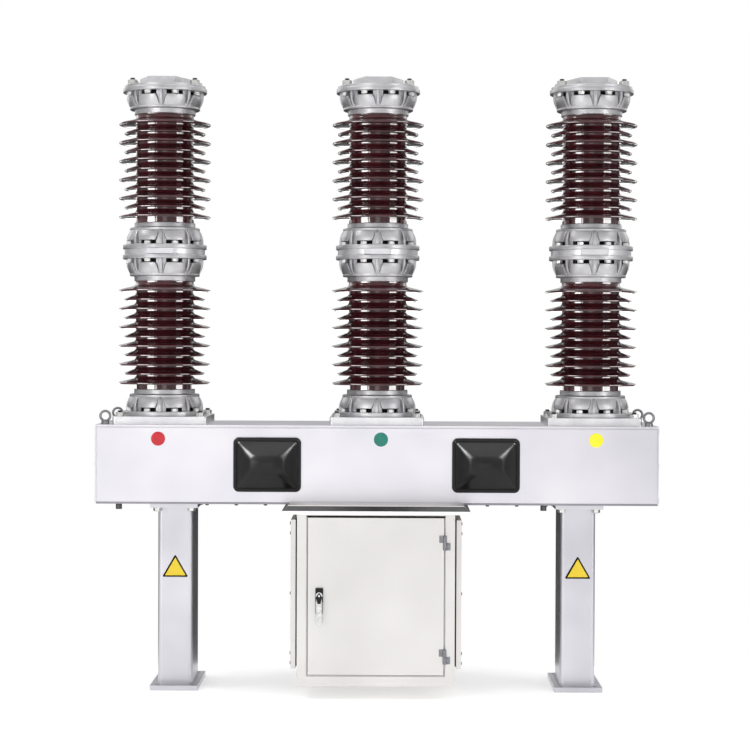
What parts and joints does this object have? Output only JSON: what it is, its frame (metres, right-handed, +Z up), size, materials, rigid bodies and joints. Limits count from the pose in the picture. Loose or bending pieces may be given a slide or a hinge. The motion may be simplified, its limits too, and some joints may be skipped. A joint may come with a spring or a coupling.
{
  "type": "outdoor vacuum circuit breaker",
  "caption": "Three-pole outdoor circuit breaker with ribbed porcelain columns on a two-legged beam and a hanging drive cabinet with a hinged door.",
  "frame": {"origin": "on the ground under the middle of the object", "axes": "+Z up, +X to the right along the row of poles, front with the cabinet door faces -Y"},
  "size_m": [1.838, 0.694, 2.015],
  "materials": {
    "frame_steel": "satin",
    "stainless": "brushed",
    "cast_alloy": "as cast, silver grey",
    "terminal_alloy": "machined and plated",
    "porcelain": "brown glaze, glossy",
    "cabinet_steel": "satin powder coat",
    "black_moulding": "glossy black",
    "black_rubber": "matte",
    "dark_steel": "blackened",
    "hinge_steel": "satin",
    "lever_alloy": "satin chrome"
  },
  "bodies": {
    "frame": {"left_leg": "frame_steel", "right_leg": "frame_steel", "beam_top_plate": "stainless", "beam_bottom_plate": "stainless", "beam_front_panel": "stainless", "beam_back_panel": "stainless", "beam_left_end_cover": "stainless", "beam_right_end_cover": "stainless", "lifting_eyes": "dark_steel", "drain_plugs": "hinge_steel", "left_sight_cover": "black_moulding", "right_sight_cover": "black_moulding", "left_pole_base_plate": "cast_alloy", "left_pole_bottom_flange": "cast_alloy", "left_pole_lower_insulator": "porcelain", "left_pole_middle_flanges": "cast_alloy", "left_pole_middle_terminal": "terminal_alloy", "left_pole_upper_insulator": "porcelain", "left_pole_top_flange": "cast_alloy", "left_pole_top_terminal": "terminal_alloy", "middle_pole_base_plate": "cast_alloy", "middle_pole_bottom_flange": "cast_alloy", "middle_pole_lower_insulator": "porcelain", "middle_pole_middle_flanges": "cast_alloy", "middle_pole_middle_terminal": "terminal_alloy", "middle_pole_upper_insulator": "porcelain", "middle_pole_top_flange": "cast_alloy", "middle_pole_top_terminal": "terminal_alloy", "right_pole_base_plate": "cast_alloy", "right_pole_bottom_flange": "cast_alloy", "right_pole_lower_insulator": "porcelain", "right_pole_middle_flanges": "cast_alloy", "right_pole_middle_terminal": "terminal_alloy", "right_pole_upper_insulator": "porcelain", "right_pole_top_flange": "cast_alloy", "right_pole_top_terminal": "terminal_alloy", "cabinet_left_wall": "cabinet_steel", "cabinet_right_wall": "cabinet_steel", "cabinet_back_wall": "cabinet_steel", "cabinet_floor": "cabinet_steel", "cabinet_front_frame": "cabinet_steel", "cabinet_roof": "stainless", "roof_skirts": "black_moulding", "roof_cap_plates": "stainless", "roof_seal": "black_rubber", "left_side_cover": "cabinet_steel", "right_side_cover": "cabinet_steel", "side_gaskets": "black_rubber", "frame_hinge_halves": "hinge_steel"},
    "door": {"door_panel": "cabinet_steel", "door_hinge_halves": "hinge_steel", "door_lock": "black_moulding"},
    "lever": {"door_lever": "lever_alloy"}
  },
  "joints": [
    {"name": "door_hinge", "type": "hinge", "parent": "frame", "child": "door", "pos_m": [0.22, -0.3075, 0.3], "axis": [0, 0, 1], "range_deg": [0, 110]},
    {"name": "lever_turn", "type": "hinge", "parent": "door", "child": "lever", "pos_m": [-0.1805, -0.32, 0.335], "axis": [0, -1, 0], "range_deg": [0, 90]}
  ]
}
